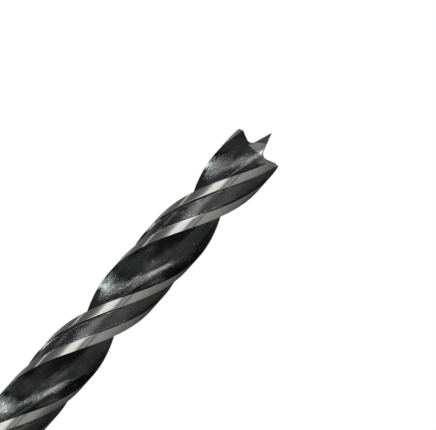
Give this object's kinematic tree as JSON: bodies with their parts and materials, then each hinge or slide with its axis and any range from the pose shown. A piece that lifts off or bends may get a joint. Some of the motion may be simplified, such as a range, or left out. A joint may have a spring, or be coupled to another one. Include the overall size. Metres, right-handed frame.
{
  "type": "wood drill bit",
  "caption": "Brad-point twist drill bit for wood, with right-hand spiral flutes, double ground margins and a plain round shank.",
  "frame": {"origin": "centre of the shank's flat end face", "axes": "+Z along the bit's axis from the shank to the brad point; the two lips are ground in line with X"},
  "size_m": [0.01, 0.01, 0.133],
  "materials": {
    "tool_steel": "black oxide scale in the flutes and clearances, bright ground margins, point and shank"
  },
  "bodies": {
    "root": {"drill_bit": "tool_steel"}
  },
  "joints": []
}
